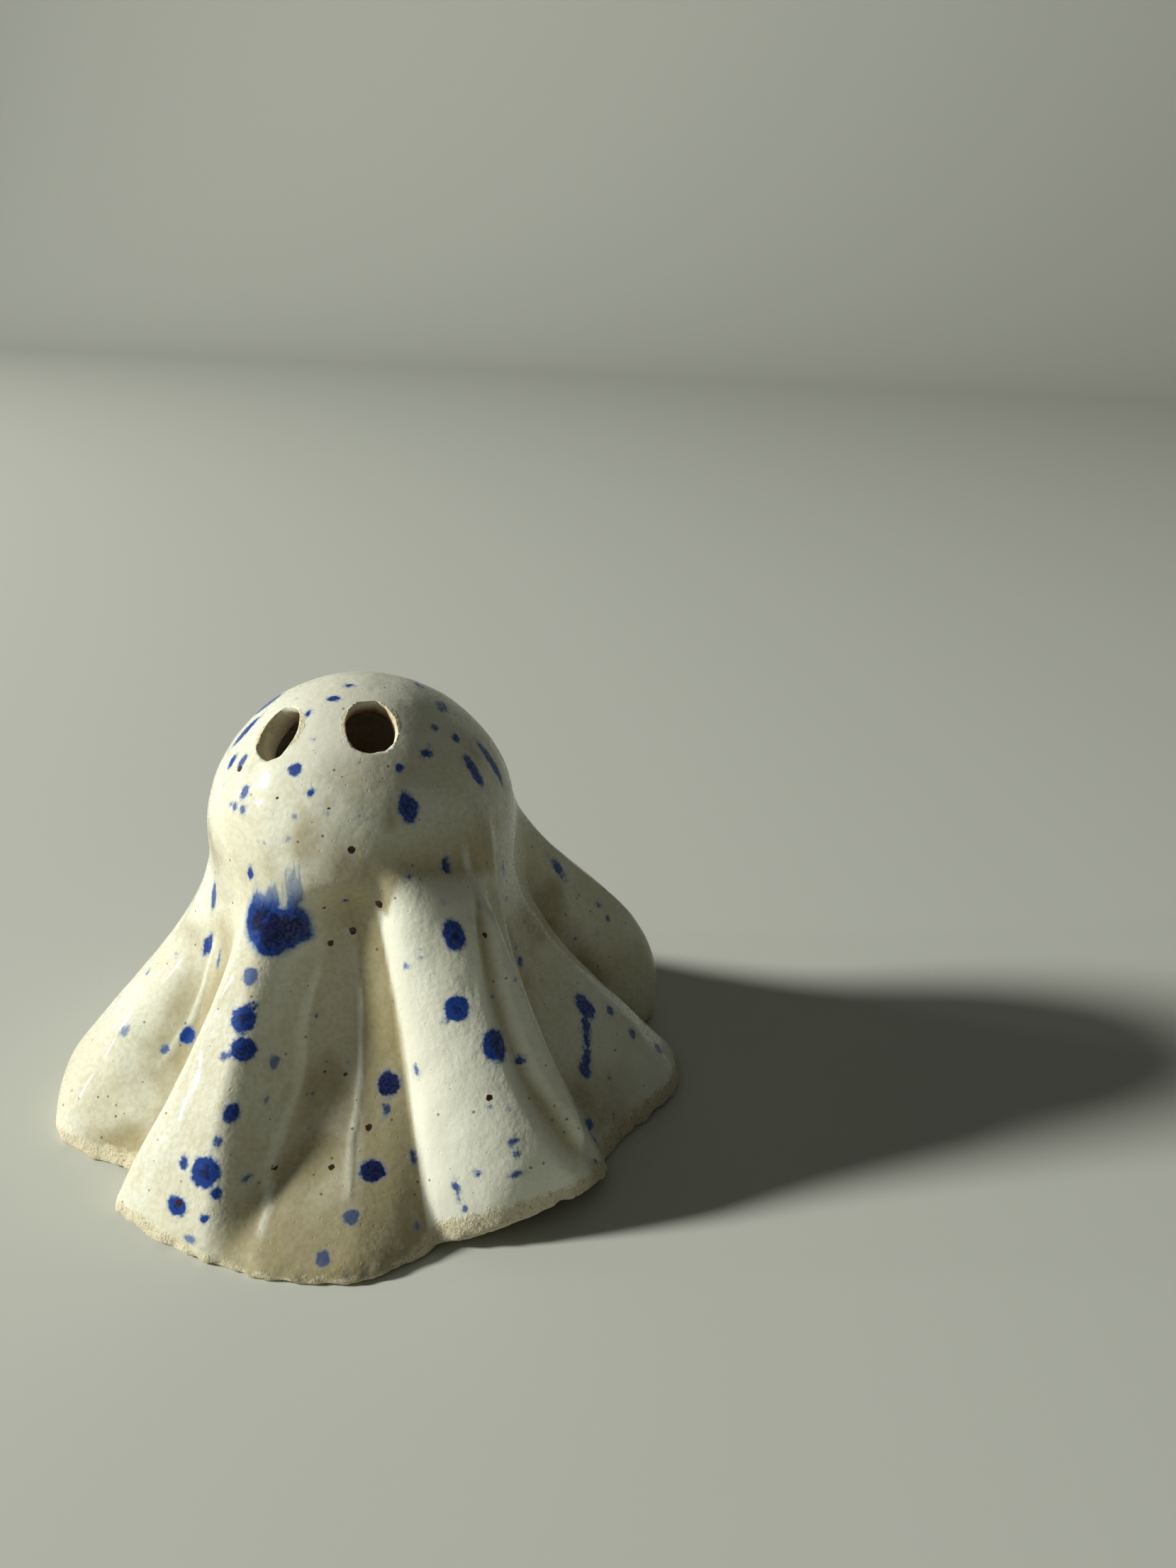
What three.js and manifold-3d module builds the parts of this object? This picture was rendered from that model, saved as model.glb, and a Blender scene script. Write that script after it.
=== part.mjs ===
// Ghost candle lantern: one slab of clay draped into a small sheet ghost with two
// punched eyes, which stands over a tealight and lifts straight off it.
// Millimetres, +Z up, origin at the centre of the tealight's underside, face towards -Y.
import * as THREE from 'three';
import { mergeVertices } from 'three/addons/utils/BufferGeometryUtils.js';
import Module from 'manifold-3d';

const wasm = await Module();
wasm.setup();

// Bell of the draped slab, as its valleys between the folds run
const HEIGHT = 69.5;             // table to crown
const NECK_HEIGHT = 47;          // where the skirt runs into the dome of the head
const NECK_RADIUS = 23.6;
const HEM_RADIUS = 44.3;
const SKIRT_POWER = 2.2;         // how late the skirt flares out
const DOME_POWER = 1.92;         // 2 is an ellipse, less is more pointed
const WALL = 3.6;                // thickness of the slab
const HEAD_SHIFT = [-1.5, 0.3];  // the head leans off the middle of the skirt, x and y

// Rim of the hem
const RIM_HEIGHT = 2.2;          // cut edge, upright over this height
const RIM_TUCK = 0.9;            // how far the edge rounds in where it meets the table
const RIM_TUCK_HEIGHT = 1.2;
const LIFTED_HEM = { azimuth: 52, halfWidth: 24, rise: 3.2, fadeHeight: 20 };

// Eyes, punched through the slab while it was soft. A pair gives left and right as seen.
const EYE_WIDTHS = [8.0, 6.9];
const EYE_LENGTHS = [7.8, 8.2];
const EYE_SPACING = 13.4;        // between the middles of the eyes
const EYE_SHIFT = -0.7;          // both sit a little to the left, as seen
const EYE_DROPS = [4.6, 3.1];    // below the crown
const EYE_TILT = 42;             // how far the punch pointed down into the head
const EYE_FLARE = 0.6;           // the mouth of the hole is rounded over by this much
const EYE_SIDES = 24;

// Tealight
const CUP_DIAMETER = 38;
const CUP_HEIGHT = 15;
const CUP_WALL = 0.5;
const CUP_FLOOR = 0.5;
const CUP_FOOT_BEVEL = 1.2;
const LIP_WIDTH = 0.7;           // rolled lip, outside the cup's wall
const LIP_HEIGHT = 1.0;
const WAX_LEVEL = 12.2;
const WAX_MENISCUS = 0.5;        // the wax stands this much higher at the cup and the wick
const WICK_DIAMETER = 1.5;
const WICK_ABOVE_WAX = 8;
const WICK_BEND = 0.9;           // the burnt tip leans sideways
const SUSTAINER_DIAMETER = 13;
const SUSTAINER_THICKNESS = 0.4;
const COLLAR_DIAMETER = 3.4;     // tube in the middle of the sustainer
const COLLAR_HEIGHT = 4.5;
const WAX_CLEARANCE = 0.3;       // wax to cup and to sustainer
const WICK_CLEARANCE = 0.3;      // wick to collar and to wax

// Facets
const AZIMUTHS = 120;
const OUTER_ROWS = 25;
const INNER_ROWS = 14;
const WALL_SAMPLES = [240, 72];  // azimuths and rows on which the wall is measured
const CUP_SIDES = 48;
const WICK_SIDES = 12;

// Folds that stand out of the bell. Each pair gives the value at the hem and at the fold's
// top. azimuth is the crest's middle, crest its width and left and right its flanks, all in
// degrees. reach is how far the crest stands out, at the hem and where it is fullest. A flank
// rises in a soft S, or with leftPower like part of a superellipse: steep at its foot. With
// slant the top falls to the right, in mm for a degree.
const FOLDS = {
  leftFold: {
    azimuth: [-63.5, -68], crest: [13, 4], left: [16, 20], right: [22, 22],
    reach: [6.9, 11.6], fullestHeight: 9, topHeight: 44, taper: 1.0,
  },
  frontLeftRidge: {
    azimuth: [-18.5, -15], crest: [21, 3], left: [9, 14], right: [16, 15],
    reach: [5.0, 8.8], fullestHeight: 13, topHeight: 50, taper: 0.95,
  },
  frontApron: {
    azimuth: [9, 10], crest: [14, 10], left: [24, 22], right: [21, 18],
    reach: [6.0, 6.0], fullestHeight: 1, topHeight: 13, taper: 1.2,
  },
  fingerFold: {
    azimuth: [58, 55], crest: [3, 6], left: [25.5, 25], right: [9, 10], leftPower: 1.7,
    reach: [3.2, 11.8], fullestHeight: 15, topHeight: 46.2, taper: 0.26, slant: 0.1,
  },
  fingerRim: {
    azimuth: [64.5, 70], crest: [3, 2], left: [12, 7], right: [8, 9],
    reach: [2.4, 5.6], fullestHeight: 12, topHeight: 57, taper: 0.6,
  },
  rightFold: {
    azimuth: [107, 102], crest: [6, 3], left: [26, 26], right: [10, 12],
    reach: [6.2, 7.3], fullestHeight: 4, topHeight: 40, taper: 1.1,
  },
  backRightFold: {
    azimuth: [132, 126], crest: [8, 6], left: [11, 16], right: [18, 16],
    reach: [6.2, 17.4], fullestHeight: 18, topHeight: 52, taper: 1.0,
  },
  backFold: {
    azimuth: [170.5, 172], crest: [9, 4], left: [13, 16], right: [15, 14],
    reach: [6.1, 8.6], fullestHeight: 8, topHeight: 44, taper: 1.0,
  },
  backLeftFold: {
    azimuth: [212, 213], crest: [12, 3], left: [16, 19], right: [16, 14],
    reach: [5.8, 8.4], fullestHeight: 9, topHeight: 44, taper: 1.0,
  },
  farLeftFold: {
    azimuth: [255, 255], crest: [10, 4], left: [16, 16], right: [14, 17],
    reach: [6.4, 10.4], fullestHeight: 10, topHeight: 46, taper: 1.0,
  },
};
const FOLD_BLEND = 5;            // how sharply a fold's flank meets the next one

// Hollow of the front valley, under the head and between its two folds
const FRONT_HOLLOW = {
  azimuth: 15, halfWidth: 18, depth: 3.2,
  footHeight: 9, footFade: 16, topHeight: 47, topFade: 6,
};

const radians = THREE.MathUtils.degToRad;
const between = THREE.MathUtils.clamp;
const mix = THREE.MathUtils.lerp;
const ease = (x) => THREE.MathUtils.smoothstep(x, 0, 1);
const turn = (degrees) => THREE.MathUtils.euclideanModulo(degrees + 180, 360) - 180;

// Radius of the bell between the folds: a flaring skirt under a dome.
function bellRadius(z) {
  if (z < NECK_HEIGHT) {
    return NECK_RADIUS + (HEM_RADIUS - NECK_RADIUS) * (1 - z / NECK_HEIGHT) ** SKIRT_POWER;
  }
  const up = Math.min((z - NECK_HEIGHT) / (HEIGHT - NECK_HEIGHT), 1);
  return NECK_RADIUS * (1 - up ** DOME_POWER) ** (1 / DOME_POWER);
}

// How far a fold stands out of the bell at this azimuth and height.
function foldReach(fold, azimuth, z) {
  const up = between(z / fold.topHeight, 0, 1);
  const middle = mix(...fold.azimuth, up ** 2);
  const halfCrest = mix(...fold.crest, 1 - (1 - up) ** 1.6) / 2;
  const offset = turn(azimuth - middle);
  const flank = offset < 0 ? mix(...fold.left, up) : mix(...fold.right, up);
  const inward = between((flank + halfCrest - Math.abs(offset)) / flank, 0, 1);
  const power = offset < 0 ? fold.leftPower : undefined;
  const side = power ? (1 - (1 - inward) ** power) ** (1 / power) : ease(inward);
  const [atHem, atFullest] = fold.reach;
  const level = z + (fold.slant ?? 0) * offset * up;
  if (level < fold.fullestHeight) {
    return mix(atFullest, atHem, (1 - level / fold.fullestHeight) ** 2) * side;
  }
  const fall = (level - fold.fullestHeight) / (fold.topHeight - fold.fullestHeight);
  return atFullest * (1 - ease(fall)) ** fold.taper * side;
}

// How deep the front valley lies below the bell.
function hollowDepth(azimuth, z) {
  const { halfWidth, depth, footHeight, footFade, topHeight, topFade } = FRONT_HOLLOW;
  const aside = between(turn(azimuth - FRONT_HOLLOW.azimuth) / halfWidth, -1, 1);
  const ends = ease((topHeight - z) / topFade) * ease((z - footHeight) / footFade);
  return depth * (1 - aside ** 2) ** 2 * ends;
}

// Radius of the draped skin: the bell, and the folds run together by a power mean.
function drapedRadius(azimuth, z) {
  const reaches = Object.values(FOLDS).map((fold) => foldReach(fold, azimuth, z));
  const sum = reaches.reduce((total, reach) => total + reach ** FOLD_BLEND, 0);
  return bellRadius(z) - hollowDepth(azimuth, z) + sum ** (1 / FOLD_BLEND);
}

// The same with the upright cut edge at the hem, rounded in where it meets the table.
function skinRadius(azimuth, z) {
  const level = z < RIM_HEIGHT ? (RIM_HEIGHT + z * z / RIM_HEIGHT) / 2 : z;
  const below = between(1 - z / RIM_TUCK_HEIGHT, 0, 1);
  return drapedRadius(azimuth, level) - RIM_TUCK * (1 - Math.sqrt(1 - below ** 2));
}

// Point of the ghost for a radius: the head leans, and the lifted hem clears the table.
function place(azimuth, radius, z) {
  const aside = between(Math.abs(turn(azimuth - LIFTED_HEM.azimuth)) / LIFTED_HEM.halfWidth, 0, 1);
  const rise = LIFTED_HEM.rise * (1 - aside ** 2) ** 2 * Math.max(1 - z / LIFTED_HEM.fadeHeight, 0);
  const lean = ease(z / NECK_HEIGHT);
  const angle = radians(azimuth);
  return new THREE.Vector3(
    radius * Math.sin(angle) + HEAD_SHIFT[0] * lean,
    -radius * Math.cos(angle) + HEAD_SHIFT[1] * lean,
    z + rise,
  );
}

// Heights from a start to the crown, evenly spaced along the bell's profile.
function heightsAlongBell(start, top, count) {
  const steps = 400;
  const walked = [0];
  for (let i = 1; i <= steps; i += 1) {
    const [a, b] = [mix(start, top, (i - 1) / steps), mix(start, top, i / steps)];
    const scale = HEIGHT / top;
    walked.push(walked[i - 1] + Math.hypot(b - a, bellRadius(b * scale) - bellRadius(a * scale)));
  }
  const heights = [];
  for (let row = 0; row < count; row += 1) {
    const goal = walked[steps] * row / count;
    const after = walked.findIndex((length) => length > goal);
    const part = (goal - walked[after - 1]) / (walked[after] - walked[after - 1]);
    heights.push(mix(start, top, (after - 1 + part) / steps));
  }
  return heights;
}

// Points of the outer skin, from which the inner skin keeps the slab's thickness.
function skinSamples() {
  const [azimuths, rows] = WALL_SAMPLES;
  const samples = [];
  for (const z of heightsAlongBell(0, HEIGHT, rows)) {
    for (let i = 0; i < azimuths; i += 1) {
      const azimuth = 360 * i / azimuths;
      const radius = skinRadius(azimuth, z);
      const angle = radians(azimuth);
      samples.push([radius * Math.sin(angle), -radius * Math.cos(angle), z]);
    }
  }
  return samples;
}

// Largest radius at which every point of the outer skin is at least a wall away.
function innerRadius(azimuth, z, samples) {
  const angle = radians(azimuth);
  const [ux, uy] = [Math.sin(angle), -Math.cos(angle)];
  let radius = Infinity;
  for (const [x, y, height] of samples) {
    const along = x * ux + y * uy;
    const away = (height - z) ** 2 + (x * uy - y * ux) ** 2;
    if (along > 0 && away < WALL ** 2) {
      radius = Math.min(radius, along - Math.sqrt(WALL ** 2 - away));
    }
  }
  return Math.max(radius, 0.5);
}

// Closed body from rings of points between two poles.
function ringedBody(firstPole, rings, lastPole) {
  const count = rings[0].length;
  const points = [firstPole, ...rings.flat(), lastPole];
  const at = (ring, i) => 1 + ring * count + i % count;
  const faces = [];
  for (let i = 0; i < count; i += 1) {
    faces.push(0, at(0, i), at(0, i + 1));
    for (let ring = 0; ring + 1 < rings.length; ring += 1) {
      faces.push(at(ring, i), at(ring + 1, i), at(ring + 1, i + 1));
      faces.push(at(ring, i), at(ring + 1, i + 1), at(ring, i + 1));
    }
    faces.push(points.length - 1, at(rings.length - 1, i + 1), at(rings.length - 1, i));
  }
  const geometry = new THREE.BufferGeometry().setFromPoints(points);
  geometry.setIndex(faces);
  return geometry;
}

// The draped slab, closed over its cut edge at the hem.
function drapedSlab() {
  const azimuths = Array.from({ length: AZIMUTHS }, (_, i) => 360 * i / AZIMUTHS);
  const rim = [0, RIM_TUCK_HEIGHT / 3, RIM_TUCK_HEIGHT];
  const outerHeights = [...rim, ...heightsAlongBell(RIM_HEIGHT, HEIGHT, OUTER_ROWS)];
  const innerHeights = heightsAlongBell(0, HEIGHT - WALL, INNER_ROWS);
  const samples = skinSamples();
  const outer = outerHeights.map((z) => azimuths.map((a) => place(a, skinRadius(a, z), z)));
  const inner = innerHeights.map((z) => azimuths.map((a) => place(a, innerRadius(a, z, samples), z)));
  const crown = place(0, 0, HEIGHT);
  const ceiling = place(0, 0, HEIGHT - WALL);
  return ringedBody(crown, [...outer.reverse(), ...inner], ceiling);
}

// The punch that made an eye (0 left, 1 right), with the rounded mouth of the hole.
function eyePunch(eye) {
  const [width, length] = [EYE_WIDTHS[eye], EYE_LENGTHS[eye]];
  const height = HEIGHT - EYE_DROPS[eye];
  const angle = Math.asin(((eye - 0.5) * EYE_SPACING + EYE_SHIFT) / bellRadius(height));
  const azimuth = THREE.MathUtils.radToDeg(angle);
  const radius = length / 2;
  const depth = 3 * WALL;
  const outside = WALL;
  const profile = [
    [0, -depth], [radius, -depth], [radius, -1.5 * EYE_FLARE],
    [radius + 0.3 * EYE_FLARE, -0.5 * EYE_FLARE], [radius + EYE_FLARE, 0.2 * EYE_FLARE],
    [radius + 2 * EYE_FLARE, outside], [0, outside],
  ].map(([x, y]) => new THREE.Vector2(x, y));
  const tilt = radians(EYE_TILT);
  const axis = new THREE.Vector3(
    Math.sin(angle) * Math.cos(tilt),
    -Math.cos(angle) * Math.cos(tilt),
    Math.sin(tilt),
  );
  const across = new THREE.Vector3(Math.cos(angle), Math.sin(angle), 0);
  const along = new THREE.Vector3().crossVectors(across, axis);
  const punch = new THREE.LatheGeometry(profile, EYE_SIDES);
  punch.scale(width / length, 1, 1);
  punch.applyMatrix4(new THREE.Matrix4().makeBasis(across, axis, along));
  return punch.translate(...place(azimuth, drapedRadius(azimuth, height), height));
}

function toSolid(geometry) {
  const bare = geometry.clone();
  bare.deleteAttribute('normal');
  bare.deleteAttribute('uv');
  const merged = mergeVertices(bare, 1e-5);
  return new wasm.Manifold(new wasm.Mesh({
    numProp: 3,
    vertProperties: new Float32Array(merged.attributes.position.array),
    triVerts: new Uint32Array(merged.index.array),
  }));
}

function toGeometry(solid) {
  const mesh = solid.getMesh();
  const geometry = new THREE.BufferGeometry();
  geometry.setAttribute('position', new THREE.BufferAttribute(new Float32Array(mesh.vertProperties), 3));
  geometry.setIndex(new THREE.BufferAttribute(new Uint32Array(mesh.triVerts), 1));
  geometry.computeVertexNormals();
  return geometry;
}

// Body turned about +Z from a profile of radius and height.
function turned(profile, sides) {
  const points = profile.map(([radius, z]) => new THREE.Vector2(radius, z));
  return new THREE.LatheGeometry(points, sides).rotateX(Math.PI / 2);
}

function piece(name, geometry, color, roughness, metalness) {
  const mesh = new THREE.Mesh(geometry, new THREE.MeshStandardMaterial({ color, roughness, metalness }));
  mesh.name = name;
  return mesh;
}

// One slab with the two eyes cut through it.
function ghostShell() {
  const punched = toSolid(drapedSlab())
    .subtract(toSolid(eyePunch(0)))
    .subtract(toSolid(eyePunch(1)));
  return piece('ghost_shell', toGeometry(punched), 0xe9e3d3, 0.25, 0);
}

// Thin pressed cup with a bevelled foot and a rolled lip, open at the top.
function tealightCup() {
  const outer = CUP_DIAMETER / 2 - LIP_WIDTH;
  const inner = outer - CUP_WALL;
  const foot = outer - CUP_FOOT_BEVEL;
  const lipBottom = CUP_HEIGHT - LIP_HEIGHT;
  const profile = [
    [0, 0], [foot, 0], [outer, CUP_FOOT_BEVEL], [outer, lipBottom],
    [outer + LIP_WIDTH, lipBottom + LIP_WIDTH / 2], [outer + LIP_WIDTH, CUP_HEIGHT - LIP_WIDTH / 2],
    [outer, CUP_HEIGHT], [inner, CUP_HEIGHT],
    [inner, CUP_FLOOR + CUP_FOOT_BEVEL], [inner - CUP_FOOT_BEVEL, CUP_FLOOR], [0, CUP_FLOOR],
  ];
  return piece('tealight_cup', turned(profile, CUP_SIDES), 0xc9ccd0, 0.3, 1);
}

// Wax filling, cast round the sustainer's collar and the wick, with a slight meniscus.
function tealightWax() {
  const outer = CUP_DIAMETER / 2 - LIP_WIDTH - CUP_WALL - WAX_CLEARANCE;
  const bore = WICK_DIAMETER / 2 + WICK_CLEARANCE;
  const collar = COLLAR_DIAMETER / 2 + WAX_CLEARANCE;
  const plate = SUSTAINER_DIAMETER / 2 + WAX_CLEARANCE;
  const plateTop = CUP_FLOOR + SUSTAINER_THICKNESS + WAX_CLEARANCE;
  const collarTop = CUP_FLOOR + COLLAR_HEIGHT + WAX_CLEARANCE;
  const edge = 3 * WAX_MENISCUS;
  const profile = [
    [bore, collarTop], [collar, collarTop], [collar, plateTop], [plate, plateTop], [plate, CUP_FLOOR],
    [outer - CUP_FOOT_BEVEL, CUP_FLOOR], [outer, CUP_FLOOR + CUP_FOOT_BEVEL],
    [outer, WAX_LEVEL + WAX_MENISCUS], [outer - edge / 3, WAX_LEVEL + WAX_MENISCUS / 4],
    [outer - edge, WAX_LEVEL], [bore + edge, WAX_LEVEL], [bore + edge / 3, WAX_LEVEL + WAX_MENISCUS / 4],
    [bore, WAX_LEVEL + WAX_MENISCUS], [bore, collarTop],
  ];
  return piece('tealight_wax', turned(profile, CUP_SIDES), 0xf3efe4, 0.5, 0);
}

// Pressed plate with a collar that holds the wick upright on the cup's floor.
function wickSustainer() {
  const bore = WICK_DIAMETER / 2 + WICK_CLEARANCE;
  const collar = COLLAR_DIAMETER / 2;
  const top = CUP_FLOOR + SUSTAINER_THICKNESS;
  const profile = [
    [0, CUP_FLOOR], [SUSTAINER_DIAMETER / 2, CUP_FLOOR], [SUSTAINER_DIAMETER / 2, top], [collar, top],
    [collar, CUP_FLOOR + COLLAR_HEIGHT], [bore, CUP_FLOOR + COLLAR_HEIGHT], [bore, top], [0, top],
  ];
  return piece('wick_sustainer', turned(profile, CUP_SIDES), 0xb9bcc0, 0.35, 1);
}

// Wick from the sustainer's plate through the wax, its tip leaning a little.
function tealightWick() {
  const foot = CUP_FLOOR + SUSTAINER_THICKNESS;
  const tip = WAX_LEVEL + WICK_ABOVE_WAX;
  const path = new THREE.CatmullRomCurve3([
    new THREE.Vector3(0, 0, foot),
    new THREE.Vector3(0, 0, WAX_LEVEL),
    new THREE.Vector3(0, 0, WAX_LEVEL + WICK_ABOVE_WAX / 3),
    new THREE.Vector3(WICK_BEND, 0, tip),
  ]);
  const section = new THREE.Shape().absarc(0, 0, WICK_DIAMETER / 2, 0, 2 * Math.PI, false);
  const geometry = new THREE.ExtrudeGeometry(section, {
    extrudePath: path, steps: 16, curveSegments: WICK_SIDES / 2,
  });
  return piece('tealight_wick', geometry, 0x4a4038, 0.9, 0);
}

const tealight = new THREE.Group();
tealight.add(tealightCup(), tealightWax(), wickSustainer(), tealightWick());

const group = new THREE.Group();
group.add(ghostShell(), tealight);
export default group;
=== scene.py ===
"""Ghost candle lantern: a draped stoneware ghost with cobalt splatter over a tealight."""
import math
import random

import bpy
import numpy as np
from mathutils import Matrix, Vector, noise


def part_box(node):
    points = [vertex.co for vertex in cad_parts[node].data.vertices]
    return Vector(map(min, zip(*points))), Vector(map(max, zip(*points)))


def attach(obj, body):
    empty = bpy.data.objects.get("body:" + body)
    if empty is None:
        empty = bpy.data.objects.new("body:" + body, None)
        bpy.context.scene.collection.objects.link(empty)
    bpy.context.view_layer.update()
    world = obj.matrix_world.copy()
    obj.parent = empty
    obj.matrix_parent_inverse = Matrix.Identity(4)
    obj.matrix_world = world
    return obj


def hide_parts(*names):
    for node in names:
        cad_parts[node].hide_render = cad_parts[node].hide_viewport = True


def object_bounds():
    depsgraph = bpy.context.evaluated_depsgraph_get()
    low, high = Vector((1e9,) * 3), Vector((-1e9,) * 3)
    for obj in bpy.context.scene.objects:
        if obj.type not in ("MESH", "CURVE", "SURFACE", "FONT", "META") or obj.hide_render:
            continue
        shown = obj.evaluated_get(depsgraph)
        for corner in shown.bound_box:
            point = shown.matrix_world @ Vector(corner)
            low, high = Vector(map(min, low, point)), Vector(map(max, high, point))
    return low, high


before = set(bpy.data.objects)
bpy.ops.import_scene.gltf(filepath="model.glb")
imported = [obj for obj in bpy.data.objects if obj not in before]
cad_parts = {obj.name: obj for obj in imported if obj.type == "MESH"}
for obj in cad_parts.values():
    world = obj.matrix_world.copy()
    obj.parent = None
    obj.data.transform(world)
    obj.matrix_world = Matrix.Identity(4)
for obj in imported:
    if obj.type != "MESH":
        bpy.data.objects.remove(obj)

CAD_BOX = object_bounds()
MM = 0.001

# Bell of the draped slab, as its valleys between the folds run
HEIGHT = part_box("ghost_shell")[1].z
NECK_HEIGHT = 47 * MM
NECK_RADIUS = 23.6 * MM
HEM_RADIUS = 44.3 * MM
SKIRT_POWER = 2.2
DOME_POWER = 1.92
HEAD_SHIFT = Vector((-1.5, 0.3, 0)) * MM

# Unevenness: size and height of the lumps, on the whole skin and on the cut hem
SWELL, FINE_SWELL = (11 * MM, 0.28 * MM), (4.2 * MM, 0.1 * MM)
CRUMBS, COARSE_CRUMBS = (1.5 * MM, 0.44 * MM), (3.6 * MM, 0.4 * MM)
# How far a drip stands out and how far the skin lies inside the solid's, in millimetres
DRIP_RIDGE, SKIN_SINK = 0.16, 0.16

# Rim of the hem
RIM_HEIGHT = 2.2 * MM
RIM_TUCK = 0.9 * MM
RIM_TUCK_HEIGHT = 1.2 * MM
LIFT_AZIMUTH, LIFT_HALF_WIDTH = 52, 24
LIFT_RISE, LIFT_FADE_HEIGHT = 3.2 * MM, 20 * MM

# Wall, eyes and the tilt of the punch that made them. The eyes, keyed by side (-1 is the left
# one in the picture), each have a drop from the crown, a width and height, and a slant
WALL = 3.6 * MM
EYE_RADIUS = 3.6 * MM
EYE_SPACING, EYE_SHIFT = 13.4 * MM, -0.7 * MM
EYE_DROPS = {-1: 5.1 * MM, 1: 3.4 * MM}
EYE_STRETCHES = {-1: (0.99, 1.18), 1: (0.96, 1.24)}
EYE_SHEARS = {-1: -0.28, 1: 0}
EYE_TILT = 42
EYE_FLARE = 0.5 * MM
# Punch, from inside the hole outwards: height over the skin and widening, in eye flares
PUNCH_PROFILE = [(-2.4, 0), (-1.4, 0.1), (-0.5, 0.3), (0.3, 0.6), (1.2, 1.0), (2.4, 1.5), (9, 2.0)]

# Foil cup, in millimetres: radius of the wall, height, foot, rolled lip, skin and bead
CUP_RADIUS, CUP_HEIGHT, CUP_FOOT, CUP_ROLL, CUP_SKIN, CUP_BEAD = 18.3, 14.95, 1.2, 0.42, 0.25, 9.5
# Wax: how far it creeps up at the cup and the wick, how deep it dips between, the wick's hole
WAX_CREEP, WAX_DISH, WICK_HOLE = 0.5, 0.12, 1.06
# Wick: its radius, the plait's turn in radians for a millimetre, and the cuts along it
WICK_RADIUS, WICK_TWIST, WICK_CUTS = 0.62, 2.1, 110

# Camera: place in metres, the picture's right, down and forward, and the lens and film width
CAMERA_PLACE = (0.07362, -0.17344, 0.12838)
CAMERA_TURN = ((0.9722, 0.2328, 0.0243), (0.1091, -0.3592, -0.9269), (-0.2070, 0.9038, -0.3746))
CAMERA_LENS, CAMERA_FILM = 30.11, 36

# Mesh of the slab: columns round it, rows down the outside and up the inside
COLUMNS = 448
OUTER_ROWS = 170
INNER_ROWS = 36

# Folds: azimuth of the crest, width of the crest, left and right flank in degrees, each at the
# hem and at the top; reach at the hem and at its fullest, height of the fullest and of the top
# in millimetres; and the taper towards the top
FOLDS = {
    "left": ((-63.5, -68), (13, 4), (16, 20), (22, 22), (6.9, 11.6), (9, 44), 1.0),
    "front left ridge": ((-18.5, -15), (21, 3), (9, 14), (16, 15), (5.0, 8.8), (13, 50), 0.95),
    "front apron": ((9, 10), (14, 10), (24, 22), (21, 18), (6.0, 6.0), (1, 13), 1.2),
    "finger": ((58, 55), (3, 6), (25.5, 25), (9, 10), (3.2, 11.8), (15, 46.2), 0.26),
    "finger rim": ((64.5, 70), (3, 2), (12, 7), (8, 9), (2.4, 5.6), (12, 57), 0.6),
    "right": ((107, 102), (6, 3), (26, 26), (10, 12), (6.2, 7.3), (4, 40), 1.1),
    "back right": ((132, 126), (8, 6), (11, 16), (18, 16), (6.2, 17.4), (18, 52), 1.0),
    "back": ((170.5, 172), (9, 4), (13, 16), (15, 14), (6.1, 8.6), (8, 44), 1.0),
    "back left": ((212, 213), (12, 3), (16, 19), (16, 14), (5.8, 8.4), (9, 44), 1.0),
    "far left": ((255, 255), (10, 4), (16, 16), (14, 17), (6.4, 10.4), (10, 46), 1.0),
}
FOLD_BLEND = 5
# The finger's left flank is nearly straight, like half a superellipse
STRAIGHT_FLANK, STRAIGHT_POWER = "finger", 1.35
# Its top falls to the right, in metres for a degree
SLANTED, SLANT = "finger", 0.1 * MM
# The finger's face, lightened as painted light: its left edge, and its top, which falls to the
# right of its middle and is rounded over at the left; azimuths in degrees, heights in millimetres
FINGER_EDGE, FINGER_TOP, FINGER_MIDDLE = 30.2, 46, 55
FINGER_CORNER, FINGER_CORNER_WIDTH, FINGER_CORNER_DROP = 39, 9, 6
# Part of the top that is softened, as the middle and half the reach, and how often
SOFT_AZIMUTHS, SOFT_HEIGHTS, SOFT_ROUNDS = (44, 21), (45.6, 4.6), 45
# Hollow of the front valley under the head: azimuth, half its width, depth, foot and top
HOLLOW_AZIMUTH, HOLLOW_HALF_WIDTH = 15, 18
HOLLOW_DEPTH, HOLLOW_FOOT, HOLLOW_TOP = 3.2 * MM, 9 * MM, 47 * MM
# Narrow groove at the right of the finger's face: heights and azimuths along its middle, half its
# width in degrees low down and higher up, and its depth
GROOVE = [
    (5.6, 60.5), (11.3, 56.8), (16, 55), (21, 53.4), (27, 52.6), (33, 53), (36, 53.8),
    (40, 55.2), (44, 58.5),
]
GROOVE_HALF_WIDTHS, GROOVE_DEPTH = (5.5, 3.6), 1.5 * MM

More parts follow.
